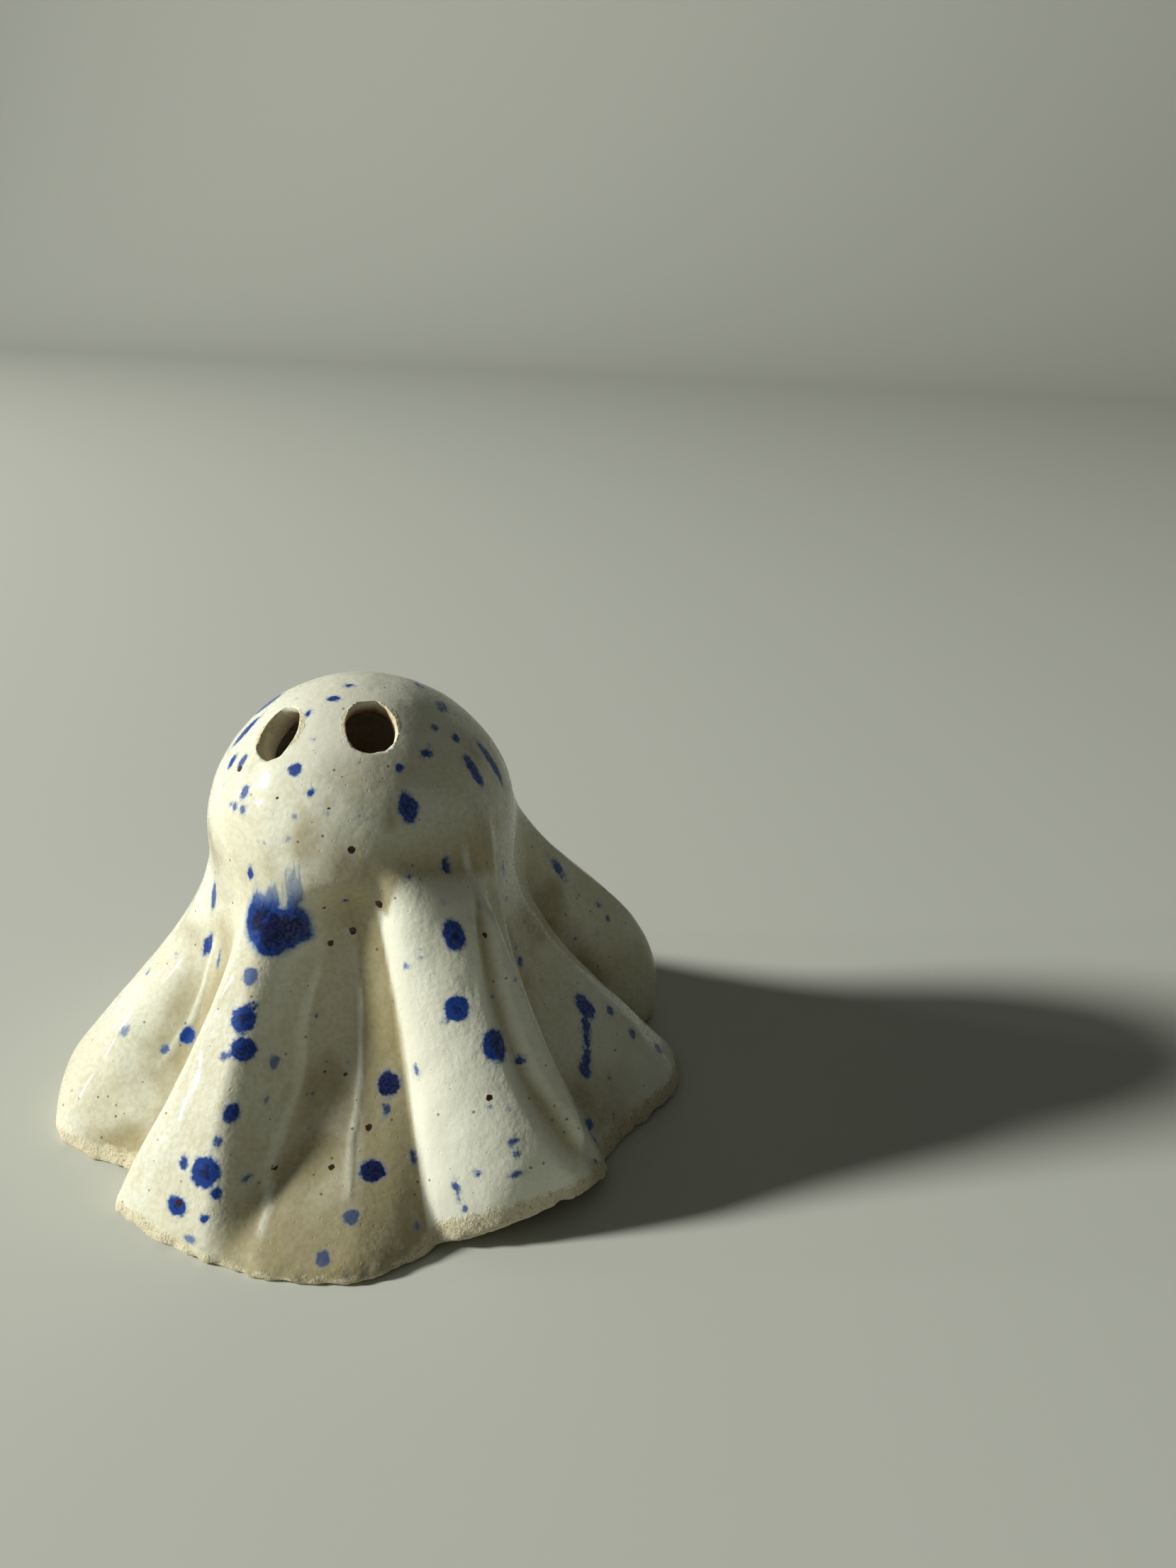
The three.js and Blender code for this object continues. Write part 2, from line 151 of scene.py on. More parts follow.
# Cobalt splatter on the seen side: azimuth, height, width, length in millimetres, and strength
SPLATTER = {
    "head": [
        (-2, 69.2, 1.7, 1.2, 0.8), (-7, 68.2, 1.9, 1.6, 0.9), (-19, 66.7, 0.9, 1.5, 0.8),
        (-62, 62, 2.2, 6.5, 0.8), (-49, 59.1, 1.8, 2.6, 0.8), (-40, 60, 1.5, 2.3, 0.7),
        (-8, 61, 2.2, 2.1, 0.8), (2, 58.8, 1.2, 1.2, 0.8), (-29, 56.9, 1.4, 2.2, 0.7),
        (-32, 54.6, 1.3, 1.3, 0.6), (-27, 54.7, 1.2, 1.5, 0.6), (-3, 55.6, 0.8, 0.8, 0.3),
        (40, 61.3, 1.4, 1.3, 0.8), (40, 56.5, 2.8, 4.4, 1.0), (71, 64.5, 1.2, 1.2, 1.0),
        (80, 62.6, 1.6, 1.5, 1.0), (56, 62.3, 1.9, 1.4, 1.0), (125, 67.5, 3.0, 1.6, 0.9),
        (98, 65.7, 3.4, 2.0, 0.9), (77, 58.5, 2.0, 5.4, 0.9), (93, 57.7, 2.0, 8.0, 0.9),
    ],
    "neck": [
        (51, 46.7, 1.6, 1.4, 1.0), (37, 47.6, 1.2, 0.9, 0.7), (-20, 46.3, 1.2, 2.0, 0.8),
        (-48, 38.3, 1.8, 4.2, 0.7), (-46, 31.1, 2.0, 3.2, 0.9),
        (-38, 30.6, 0.9, 2.4, 0.6),
    ],
    "front left ridge": [
        (-13, 33.3, 2.3, 2.6, 0.6), (-12, 28.2, 3.7, 3.9, 0.9), (-10, 29.8, 1.4, 1.2, 0.8),
        (-10, 24.7, 3.7, 3.5, 0.9), (-14, 23.7, 1.6, 1.4, 0.7), (-4, 22.3, 1.6, 2.0, 0.5),
        (-9, 17.6, 2.3, 2.7, 0.9), (-10, 14.5, 1.4, 1.7, 0.7), (-11, 11, 4.4, 4.3, 0.9),
        (-16, 11.1, 1.5, 1.9, 0.8), (-8, 8.9, 1.7, 1.9, 0.9), (-4, 9.8, 1.2, 1.5, 0.6),
        (-15, 6.1, 3.4, 2.7, 1.0), (-9, 5.9, 1.3, 1.3, 0.8), (-11, 2.9, 2.2, 1.3, 0.5),
    ],
    "left": [
        (-54, 17.1, 1.5, 2.2, 0.4), (-42, 18.2, 2.6, 2.8, 0.9), (-45, 15.9, 1.4, 1.5, 0.6),
        (-55, 27.9, 0.9, 0.9, 0.5), (-61, 24.1, 0.9, 1.4, 0.4),
    ],
    "front apron": [
        (25, 18.3, 3.3, 3.7, 1.0), (24, 15.2, 1.2, 2.3, 0.7), (20, 9.4, 3.7, 3.3, 1.0),
        (29, 10, 1.0, 1.9, 0.7), (16, 6, 2.3, 2.1, 0.55), (28, 3.8, 1.0, 1.7, 0.5),
        (12, 3, 2.1, 2.2, 0.55), (16, 1.2, 1.1, 0.9, 0.5), (-4, 18.1, 0.8, 1.0, 0.4),
    ],
    "finger": [
        (46, 40.1, 3.0, 4.5, 1.0), (43, 30.6, 3.5, 3.7, 0.9), (40, 28.8, 1.0, 0.8, 0.6),
        (49, 25.7, 3.5, 4.9, 1.0), (54, 22.8, 1.5, 1.4, 0.9), (33, 35.5, 1.3, 1.0, 0.5),
        (37, 37.3, 1.2, 0.6, 0.3), (32, 21, 1.0, 2.1, 0.6), (45, 18.1, 0.7, 0.7, 0.5),
        (48, 17.4, 0.6, 0.6, 0.4), (47, 13.1, 1.6, 1.3, 0.7), (47, 11.4, 1.2, 1.4, 0.7),
        (46, 8.3, 1.8, 0.8, 0.7), (40, 9.1, 1.2, 1.0, 0.7), (36, 7.3, 0.9, 2.4, 0.7),
        (36, 5.9, 0.8, 1.0, 0.6), (37, 4.6, 0.8, 1.0, 0.6), (65, 2.6, 1.8, 2.7, 0.8),
    ],
    "right": [
        (94, 17.3, 3.2, 4.8, 1.0), (91, 15.4, 1.5, 2.2, 1.0), (89.8, 14.6, 1.2, 2.0, 1.0),
        (88.6, 13.8, 1.1, 2.0, 1.0), (87.4, 13, 1.1, 2.0, 1.0), (86.2, 12.2, 1.1, 2.0, 1.0),
        (85, 11.4, 1.3, 2.0, 1.0), (83, 10.3, 2.3, 2.9, 0.9),
        (74, 5.1, 1.9, 2.2, 0.9), (72, 3.6, 1.2, 2.2, 0.8), (80, 27.9, 1.3, 1.5, 0.9),
        (100, 14.6, 1.8, 1.8, 0.8), (100, 10.5, 1.9, 1.8, 0.8), (104, 6, 2.1, 2.4, 0.8),
        (82, 42.2, 0.9, 1.6, 0.5),
    ],
    "back right": [
        (121, 34.2, 1.4, 5.4, 0.7), (123, 25.9, 1.2, 1.7, 0.5), (123, 23.1, 1.0, 1.3, 0.6),
        (119, 21.4, 1.0, 1.0, 0.7), (121, 20.8, 1.1, 1.3, 0.7), (112, 19.2, 1.4, 2.2, 0.8),
    ],
}

# The large blotch under the left eye: pools that run together, feathered upwards
BLOTCH = [
    (-8, 39.4, 8.4, 6.4, 1.0), (-14, 40.6, 5.0, 7.4, 0.9), (-2, 40.2, 4.6, 5.4, 1.0),
    (-9, 37.4, 5.6, 3.6, 1.0), (-3, 43.4, 1.8, 5.6, 0.6), (-16, 42.6, 2.0, 4.4, 0.7),
    (-10, 43.2, 2.6, 4.4, 0.6), (0, 38.6, 3.6, 2.6, 0.9), (-2, 45.4, 2.6, 5.6, 0.6),
]
# Iron specks on the seen side: azimuth, height and width
IRON = [
    (18.4, 51.7, 1.3), (27.3, 43.3, 1.4), (16.4, 38.1, 1.3), (8.6, 36.5, 1.1), (7, 42.1, 0.9),
    (45.2, 19.2, 1.2), (55.6, 38.6, 1.0), (19.4, 13.5, 1.2), (-0.3, 9.9, 1.2), (11.1, 9.8, 1.1),
    (-14.8, 6.6, 1.2), (-39, 59.1, 1.1), (16.5, 64.8, 0.8), (10, 57, 0.7), (4, 55, 0.6),
    (-12, 57.4, 0.7), (13, 19, 0.8), (7, 19.6, 0.6), (-70, 4, 0.8), (-24, 50, 0.6), (30, 52, 0.6),
    (60, 20, 0.6), (98, 24, 0.7), (150, 30, 1.1), (176, 44, 1.2), (201, 15, 0.9), (236, 37, 1.2),
    (262, 12, 1.0), (188, 60, 0.9), (222, 55, 0.8),
]
# Pale drips of glaze: azimuth and height along each, from its top down, and its width
LEFT_DRIP = [(5.8, 36), (1.6, 29), (0.2, 25.4), (0.8, 18), (-0.8, 12.9), (-2.1, 9.6), (0.5, 4.9)]
DRIPS = [
    (LEFT_DRIP, 0.9), ([(17.4, 33), (17.6, 20), (14.9, 12.4), (15.6, 8.1)], 0.6),
    ([(26.5, 7), (28, 4)], 0.5), ([(61, 52), (57, 34)], 0.8), ([(-42, 36), (-44, 14)], 0.6),
    ([(150, 42), (150, 12)], 0.8), ([(190, 40), (192, 9)], 0.8), ([(233, 38), (234, 14)], 0.7),
]


def mix(a, b, part):
    return a + (b - a) * part


def ease(x):
    x = np.clip(x, 0, 1)
    return x * x * (3 - 2 * x)


def turn(degrees):
    return (degrees + 180) % 360 - 180


# The slab's surface, from azimuth in degrees (0 is the face) and height
def bell_radius(z):
    low = np.clip(1 - z / NECK_HEIGHT, 0, 1) ** SKIRT_POWER
    up = np.clip((z - NECK_HEIGHT) / (HEIGHT - NECK_HEIGHT), 0, 1)
    dome = NECK_RADIUS * (1 - up ** DOME_POWER) ** (1 / DOME_POWER)
    return np.where(z < NECK_HEIGHT, mix(NECK_RADIUS, HEM_RADIUS, low), dome)


def fold_reach(name, azimuth, z):
    middle, crest, left, right, reach, heights, taper = FOLDS[name]
    fullest, top = heights[0] * MM, heights[1] * MM
    up = np.clip(z / top, 0, 1)
    half_crest = mix(crest[1], crest[0], (1 - up) ** 1.6) / 2
    offset = turn(azimuth - mix(*middle, up ** 2))
    flank = np.where(offset < 0, mix(*left, up), mix(*right, up))
    inward = np.clip((flank + half_crest - np.abs(offset)) / flank, 0, 1)
    straight = (1 - (1 - inward) ** STRAIGHT_POWER) ** (1 / STRAIGHT_POWER)
    side = np.where((name == STRAIGHT_FLANK) & (offset < 0), straight, ease(inward))
    level = z + (SLANT if name == SLANTED else 0) * offset * up
    below = mix(reach[1], reach[0], np.clip(1 - level / fullest, 0, None) ** 2)
    above = reach[1] * (1 - ease((level - fullest) / (top - fullest))) ** taper
    return np.where(level < fullest, below, above) * MM * side


def hollow_depth(azimuth, z):
    aside = np.clip(turn(azimuth - HOLLOW_AZIMUTH) / HOLLOW_HALF_WIDTH, -1, 1)
    ends = ease((HOLLOW_TOP - z) / (6 * MM)) * ease((z - HOLLOW_FOOT) / (16 * MM))
    return HOLLOW_DEPTH * (1 - aside ** 2) ** 2 * ends


def groove_middle(z):
    """Azimuth of the groove's middle."""
    heights, azimuths = zip(*GROOVE)
    return np.interp(z / MM, heights, azimuths)


def groove_share(azimuth, z):
    """How deep a place lies in the groove, from 0 to 1."""
    aside = turn(azimuth - groove_middle(z)) / mix(*GROOVE_HALF_WIDTHS, ease((z / MM - 4) / 18))
    ends = ease(z / MM / 9) * ease((46 - z / MM) / 4)
    return (1 - np.clip(aside, -1, 1) ** 2) ** 2 * ends


def draped_radius(azimuth, z):
    total = sum(fold_reach(name, azimuth, z) ** FOLD_BLEND for name in FOLDS)
    carved = hollow_depth(azimuth, z) + GROOVE_DEPTH * groove_share(azimuth, z)
    return bell_radius(z) - carved + total ** (1 / FOLD_BLEND)


def skin_radius(azimuth, z):
    level = np.where(z < RIM_HEIGHT, (RIM_HEIGHT + z * z / RIM_HEIGHT) / 2, z)
    below = np.clip(1 - z / RIM_TUCK_HEIGHT, 0, 1)
    return draped_radius(azimuth, level) - RIM_TUCK * (1 - np.sqrt(1 - below ** 2))


def rise_at(azimuth):
    aside = np.clip(np.abs(turn(azimuth - LIFT_AZIMUTH)) / LIFT_HALF_WIDTH, 0, 1)
    return LIFT_RISE * (1 - aside ** 2) ** 2


def place(azimuth, radius, z):
    """Points of the ghost: the head leans and the lifted hem clears the table."""
    lean = ease(z / NECK_HEIGHT)
    angle = np.radians(azimuth)
    x = radius * np.sin(angle) + HEAD_SHIFT.x * lean
    y = -radius * np.cos(angle) + HEAD_SHIFT.y * lean
    return np.stack([x, y, z + rise_at(azimuth) * np.clip(1 - z / LIFT_FADE_HEIGHT, 0, 1)], -1)


def unplace(points):
    """Azimuth, radius and unlifted height of points of the ghost."""
    lean = ease(points[:, 2] / NECK_HEIGHT)
    x, y = points[:, 0] - HEAD_SHIFT.x * lean, points[:, 1] - HEAD_SHIFT.y * lean
    azimuth = np.degrees(np.arctan2(x, -y))
    rise, z = rise_at(azimuth), points[:, 2]
    flat = np.where(z < LIFT_FADE_HEIGHT, (z - rise) / (1 - rise / LIFT_FADE_HEIGHT), z)
    return azimuth, np.hypot(x, y), np.clip(flat, 0, HEIGHT)


def skin_point(azimuth, z):
    return Vector(place(azimuth, float(skin_radius(azimuth, z)), z).tolist())


def heights_along(start, top, count):
    """Heights evenly spaced along the bell's profile, from start to just under top."""
    steps = np.linspace(start, top, 2000)
    radius = bell_radius(steps * HEIGHT / top)
    walked = np.concatenate([[0], np.cumsum(np.hypot(np.diff(steps), np.diff(radius)))])
    return np.interp(np.arange(count) / count * walked[-1], walked, steps)


# Modelling
def select_only(*objects):
    bpy.ops.object.select_all(action="DESELECT")
    for chosen in objects:
        chosen.select_set(True)
    bpy.context.view_layer.objects.active = objects[0]


def named(name):
    made = bpy.context.active_object
    made.name = made.data.name = name
    return made


def edit_faces(piece, chosen):
    """Goes into edit mode with only the faces selected that pass the test."""
    bpy.ops.object.mode_set(mode="EDIT")
    bpy.ops.mesh.select_mode(type="FACE")
    bpy.ops.mesh.select_all(action="DESELECT")
    bpy.ops.object.mode_set(mode="OBJECT")
    for face in piece.data.polygons:
        face.select = chosen(face)
    bpy.ops.object.mode_set(mode="EDIT")


def apply_modifier(piece, kind, **settings):
    select_only(piece)
    modifier = piece.modifiers.new(kind.title(), kind)
    for key, value in settings.items():
        setattr(modifier, key, value)
    bpy.ops.object.modifier_apply(modifier=modifier.name)


def settle(piece):
    """Puts the piece's place in its mesh, with its object at the origin."""
    select_only(piece)
    bpy.ops.object.transform_apply(location=True, rotation=True, scale=True)


def points_of(piece):
    flat = np.zeros(len(piece.data.vertices) * 3)
    piece.data.vertices.foreach_get("co", flat)
    return flat.reshape(-1, 3)


def move_points(piece, points):
    piece.data.vertices.foreach_set("co", np.ascontiguousarray(points, dtype=float).ravel())
    piece.data.update()


def paint(piece, name, values):
    layer = piece.data.attributes.new(name, "FLOAT", "POINT")
    layer.data.foreach_set("value", np.asarray(values, dtype=np.float32))


def inner_radii(azimuths, heights):
    """Radius of the inner skin: the largest at which the outer skin is a wall away."""
    around = np.arange(0, 360, 2.0)
    up = heights_along(0, HEIGHT, 72)
    angle = np.radians(around)[None, :]
    radius = skin_radius(around[None, :], up[:, None])
    xs, ys = radius * np.sin(angle), -radius * np.cos(angle)
    table = np.zeros((len(heights), len(azimuths)))
    for row, z in enumerate(heights):
        near = np.abs(up - z) < WALL
        x, y = xs[near].ravel(), ys[near].ravel()
        fall = np.repeat((up[near] - z) ** 2, len(around))
        for column, azimuth in enumerate(np.radians(azimuths)):
            along = x * math.sin(azimuth) - y * math.cos(azimuth)
            away = fall + (x * math.cos(azimuth) + y * math.sin(azimuth)) ** 2
            seen = (along > 0) & (away < WALL ** 2)
            reach = along[seen] - np.sqrt(WALL ** 2 - away[seen])
            table[row, column] = reach.min() if len(reach) else 0.5 * MM
    return np.maximum(table, 0.5 * MM)


def relief(points, size, amount):
    """Uneven hand-made surface: a slow noise, in metres."""
    return np.array([noise.noise(Vector(point) / size) for point in points]) * amount


def drip_closeness(azimuth, radius, z):
    """How near a point is to the middle of a drip, from 0 to 1."""
    closest = np.zeros(len(z))
    for way, width in DRIPS:
        azimuths, heights = zip(*reversed(way))
        foot, top = heights[0] * MM, heights[-1] * MM
        middle = np.interp(z / MM, heights, azimuths) + 0.35 * np.sin(z / (2.3 * MM) + top / MM)
        aside = np.abs(np.radians(turn(azimuth - middle))) * radius / MM
        ends = ease((z - foot) / (1.5 * MM) + 1) * ease((top - z) / (5 * MM))
        closest = np.maximum(closest, ease(1.6 - 1.6 * aside / width) * ends)
    return closest


def fullness(azimuth, z, spread):
    """How far the skin stands out of its surroundings, in millimetres: crests above 0."""
    sides = skin_radius(azimuth - spread, z) + skin_radius(azimuth + spread, z)
    return (skin_radius(azimuth, z) - sides / 2) / MM


def finger_top(azimuth):
    """Height of the finger's rounded top, in millimetres."""
    corner = np.clip((FINGER_CORNER - azimuth) / FINGER_CORNER_WIDTH, 0, 1)
    drop = FINGER_CORNER_DROP * (1 - np.sqrt(1 - corner ** 2))
    return FINGER_TOP - 0.1 * (azimuth - FINGER_MIDDLE) - drop


def finger_face(azimuth, z):
    """The finger's broad left face, from its left edge past the groove, up to its rounded top."""
    edge = FINGER_EDGE - 3.6 * np.clip((z / MM - 24) / 17, 0, 1.3) ** 1.5
    across = ease((azimuth - edge + 0.6) / 1.4) * ease((groove_middle(z) + 8 - azimuth) / 3)
    return across * ease((finger_top(azimuth) - z / MM) / 1.6) * (1 - groove_share(azimuth, z))


def valley_tan_and_shade(azimuth, z):
    """Where the glaze ran thinly over the clay, and painted shade: the front valley, the neck and
    the groove.
    """
    azimuths, heights = zip(*reversed(LEFT_DRIP))
    left = np.interp(z / MM, heights, azimuths)
    foot = ease((10 - z / MM) / 6)
    valley = mix(mix(0.6, 1, ease((azimuth - 17) / 2)), 1, foot)
    valley = ease((azimuth - left + 0.8) / 2.2) * valley
    valley = np.maximum(valley, mix(0.35, 0.9, foot) * ease((azimuth - left + 9) / 5))
    valley = valley * ease((36 - azimuth) / 4) * ease((HOLLOW_TOP - z) / (9 * MM))
    # Painted shade on the neck above the finger, in tan
    neck = ease(2 - np.abs(turn(azimuth - 40)) / 22) * ease((57 * MM - z) / (9 * MM))
    above = z / MM - mix(38, finger_top(azimuth), ease((azimuth - 28) / 2))
    neck = neck * ease(above / 1.6 + 0.5)
    tan_and_shade = np.maximum(np.maximum(valley, 0.9 * neck), 0.8 * groove_share(azimuth, z))
    return tan_and_shade * (1 - finger_face(azimuth, z))


def ghost_slab():
    """The draped slab, closed: a grid rolled up, its rows down the outside and up the inside."""
    rows = OUTER_ROWS + INNER_ROWS + 1
    bpy.ops.object.select_all(action="DESELECT")
    bpy.ops.mesh.primitive_grid_add(x_subdivisions=COLUMNS, y_subdivisions=rows, size=1)
    slab = named("draped_ghost")
    flat = points_of(slab)
    column = np.rint((flat[:, 0] + 0.5) * COLUMNS).astype(int)
    row = np.rint((0.5 - flat[:, 1]) * rows).astype(int)
    azimuth = np.arange(COLUMNS + 1) * 360 / COLUMNS % 360
    rim = np.array([0, 0.2, 0.5, 0.9, 1.4]) * RIM_TUCK_HEIGHT
    outer = np.concatenate([rim, heights_along(RIM_HEIGHT, HEIGHT, OUTER_ROWS - len(rim))])[::-1]
    inner = heights_along(0, HEIGHT - WALL, INNER_ROWS)
    coarse = azimuth[:-1:4]
    table = np.array([np.interp(azimuth, coarse, line, period=360)
                      for line in inner_radii(coarse, inner)])
    around, up = azimuth[None, :], outer[:, None]
    outside = place(around, skin_radius(around, up), up)
    inside = place(around, table, inner[:, None] + 0 * around)
    crown = place(0 * azimuth, 0.0, HEIGHT)[None]
    ceiling = place(0 * azimuth, 0.0, HEIGHT - WALL)[None]
    sheet = np.concatenate([crown, outside, inside, ceiling])
    move_points(slab, sheet[row, column])
    bpy.ops.object.mode_set(mode="EDIT")
    bpy.ops.mesh.select_all(action="SELECT")
    bpy.ops.mesh.remove_doubles(threshold=0.001 * MM)
    bpy.ops.object.mode_set(mode="OBJECT")
    return slab


def outside_of(points, radius, z):
    """Whether points belong to the outer skin and not to the inner."""
    azimuth = unplace(points)[0]
    return (radius > skin_radius(azimuth, z) - 0.45 * WALL) | (points[:, 2] > HEIGHT - 0.6 * WALL)


def roughen(slab):
    """The hand's unevenness, the drips' ridges and the crumbly cut edge, on the plain slab."""
    points = points_of(slab)
    azimuth, radius, z = unplace(points)
    normals = np.zeros(len(points) * 3)
    slab.data.vertices.foreach_get("normal", normals)
    normals = normals.reshape(-1, 3)
    outer = outside_of(points, radius, z)
    swell = relief(points, *SWELL) + relief(points + 1, *FINE_SWELL)
    drips = drip_closeness(azimuth, radius, z) * DRIP_RIDGE * MM * outer
    edge = ease(1 - np.abs(z - 0.9 * MM) / (2.4 * MM))
    crumbs = relief(points, *CRUMBS) + relief(points + 2, *COARSE_CRUMBS)
    offset = swell - SKIN_SINK * MM * outer + drips + (crumbs - 0.12 * MM) * edge
    points += normals * offset[:, None]
    low, high = np.array(CAD_BOX[0]), np.array(CAD_BOX[1])
    points[:, :2] = np.clip(points[:, :2], low[:2] + 0.02 * MM, high[:2] - 0.02 * MM)
    points[:, 2] = np.clip(points[:, 2], 0, HEIGHT)
    move_points(slab, points)


def soften_finger_top(slab):
    """Rounds over the top of the finger, where the slab folds back to the neck."""
    points = points_of(slab)
    azimuth, radius, z = unplace(points)
    (middle, half_width), (level, half_height) = SOFT_AZIMUTHS, SOFT_HEIGHTS
    near = (np.abs(turn(azimuth - middle)) < half_width) & (np.abs(z / MM - level) < half_height)
    top = slab.vertex_groups.new(name="finger_top")
    top.add(np.flatnonzero(near & outside_of(points, radius, z)).tolist(), 1, "REPLACE")
    apply_modifier(slab, "SMOOTH", factor=0.5, iterations=SOFT_ROUNDS, vertex_group=top.name)
    slab.vertex_groups.clear()


def eye_axis(side):
    """Middle of an eye on the skin, and the way the punch came out."""
    z = HEIGHT - EYE_DROPS[side]
    angle = math.asin((side * EYE_SPACING / 2 + EYE_SHIFT) / float(bell_radius(z)))
    tilt = math.radians(EYE_TILT)
    level = math.cos(tilt)
    way = Vector((math.sin(angle) * level, -math.cos(angle) * level, math.sin(tilt)))
    return skin_point(math.degrees(angle), z), way


def eye_punch(side):
    """A punch with an uneven rim whose mouth is rounded over, from a cylinder."""
    middle, way = eye_axis(side)
    top = PUNCH_PROFILE[0][0] * EYE_FLARE
    bpy.ops.object.select_all(action="DESELECT")
    bpy.ops.mesh.primitive_cylinder_add(vertices=72, radius=EYE_RADIUS, depth=3 * WALL,
                                        location=(0, 0, top - 1.5 * WALL))
    punch = named("eye_punch")
    edit_faces(punch, lambda face: face.normal.z > 0.5)
    width = EYE_RADIUS
    for along, out in PUNCH_PROFILE[1:]:
        step, grown = along * EYE_FLARE - top, EYE_RADIUS + out * EYE_FLARE
        bpy.ops.mesh.extrude_region_move(TRANSFORM_OT_translate={"value": (0, 0, step)})
        bpy.ops.transform.resize(value=(grown / width, grown / width, 1), center_override=(0, 0, 0))
        top, width = along * EYE_FLARE, grown
    bpy.ops.object.mode_set(mode="OBJECT")
    settle(punch)
    points = points_of(punch)
    angle = np.arctan2(points[:, 1], points[:, 0])
    uneven = 1 + 0.035 * np.sin(2 * angle + 1.3 * side) + 0.025 * np.sin(3 * angle + 2 + side)
    uneven += relief(points + side, 1.1 * MM, 0.05) - 0.02 * np.cos(4 * angle)
    points[:, :2] *= uneven[:, None] * np.array(EYE_STRETCHES[side])
    points[:, 0] += EYE_SHEARS[side] * points[:, 1]
    turned = np.array(way.to_track_quat("Z", "Y").to_matrix())
    move_points(punch, points @ turned.T + np.array(middle))
    return punch


def punch_eyes(slab):
    for side in EYE_DROPS:
        punch = eye_punch(side)
        apply_modifier(slab, "BOOLEAN", operation="DIFFERENCE", solver="MANIFOLD", object=punch)
        bpy.data.objects.remove(punch)


def unseen_spots():
    """Splatter for the back, which the photograph doesn't show, like that of the front."""
    chance = random.Random(31)
    spots = []
    for _ in range(58):
        azimuth, z = chance.uniform(128, 284), chance.uniform(4, 66)
        width = 0.8 + 3.4 * chance.random() ** 2.2
        spots.append((azimuth, z, width, width * chance.uniform(0.9, 1.5), chance.uniform(0.6, 1)))
    for _ in range(9):
        azimuth, z = chance.uniform(135, 280), chance.uniform(14, 58)
        spots.append((azimuth, z, 1.3, chance.uniform(4, 8), 0.8))
    return spots


def scattered_dots():
    """Small faint dots of cobalt all round."""
    chance = random.Random(12)
    return [(chance.uniform(0, 360), chance.uniform(2, 68), *(2 * [chance.uniform(0.35, 0.75)]),
             chance.uniform(0.25, 0.7)) for _ in range(90)]


def paint_spots(points, outer, spots, floor):
    """How deep each point lies in the nearest spot, in millimetres, and that spot's strength."""
    depth, strength = np.full(len(points), float(floor)), np.zeros(len(points))
    for azimuth, z, width, length, dark in spots:
        centre = skin_point(azimuth, z * MM)
        fall = (skin_point(azimuth, z * MM - 0.4 * MM) - centre).normalized()
        aside = skin_point(azimuth + 0.6, z * MM) - centre
        aside = (aside - fall * aside.dot(fall)).normalized()
        a, b = width / 2, length / 2
        offset = (points - np.array(centre)) / MM
        near = outer & (np.abs(offset).max(1) < 2.5 * max(a, b) - floor)
        u, v = offset[near] @ np.array(aside), offset[near] @ np.array(fall)
        inside = (1 - np.sqrt((u / a) ** 2 + (v / b) ** 2)) * min(a, b)
        better = inside > depth[near]
        index = np.flatnonzero(near)[better]
        depth[index], strength[index] = inside[better], dark
    return depth, strength


def glaze_level(azimuth, z):
    """Height in millimetres as the glaze's edge sees it: higher at the finger, lower in front."""
    finger = ease(2 - np.abs(turn(azimuth - 50)) / 14)
    front = ease(2 - np.abs(turn(azimuth - 12)) / 16)
    return z / MM - 0.9 * finger + 1.7 * front * (1 - finger) * ease(2 - z / (4 * MM))


def pale_glaze_and_light(azimuth, z):
    """Painted light on the finger's face and the crown; paler glaze at the right fold's foot."""
    crown = ease((z / MM - 59) / 6)
    foot = ease(1.3 - np.abs(turn(azimuth - 99)) / 18) * ease((19 - z / MM) / 8)
    return np.maximum(np.maximum(finger_face(azimuth, z) * 0.85, crown * 0.7), foot * 0.6)


def eye_marks(points, z, outer):
    """Millimetres from the nearest eye's hole, and the amber tint painted inside, behind the right
    one.
    """
    eyes, amber_tint = np.full(len(points), 9.0), np.zeros(len(points))
    for side in EYE_DROPS:
        middle, way = (np.array(v) for v in eye_axis(side))
        offset = points - middle
        along = offset @ way
        aside = np.linalg.norm(offset - along[:, None] * way, axis=1) - EYE_RADIUS
        eyes = np.where(np.abs(along) < 2 * WALL, np.minimum(eyes, aside / MM), eyes)
        if side > 0:
            inside = ease(-0.6 - along / WALL) * ease(z / MM / 10 - 2) * ~outer
            amber_tint = ease(1.2 - aside / (9 * MM)) * inside
    return eyes, amber_tint


def glazed_ghost():
    """The slab, finished, with what its glaze needs painted on its points."""
    slab = ghost_slab()
    soften_finger_top(slab)
    roughen(slab)
    punch_eyes(slab)
    select_only(slab)
    bpy.ops.object.shade_smooth()
    points = points_of(slab)
    azimuth, radius, z = unplace(points)
    outer = outside_of(points, radius, z)
    spots = [spot for group in SPLATTER.values() for spot in group]
    spots += unseen_spots() + scattered_dots()
    depth, strength = paint_spots(points, outer, spots, -1.5)
    blotch = paint_spots(points, outer, BLOTCH, -4)[0]
    iron = paint_spots(points, outer, [(*speck, speck[2], 1) for speck in IRON], -1)[0]
    eyes, amber_tint = eye_marks(points, z, outer)
    paint(slab, "cobalt", depth)
    paint(slab, "strength", strength)
    paint(slab, "blotch", blotch)
    paint(slab, "iron", iron)
    paint(slab, "inner", ~outer)
    paint(slab, "level", glaze_level(azimuth, z))
    paint(slab, "eye", eyes)
    paint(slab, "amber_tint", amber_tint)
    paint(slab, "pale", pale_glaze_and_light(azimuth, z) * outer)
    paint(slab, "drip", drip_closeness(azimuth, radius, z) * outer)
    paint(slab, "fullness", fullness(azimuth, z, 9) * outer)
    paint(slab, "valley", valley_tan_and_shade(azimuth, z) * outer)
    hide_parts("ghost_shell")
    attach(slab, "shell")
    slab.data.materials.clear()
    slab.data.materials.append(stoneware())


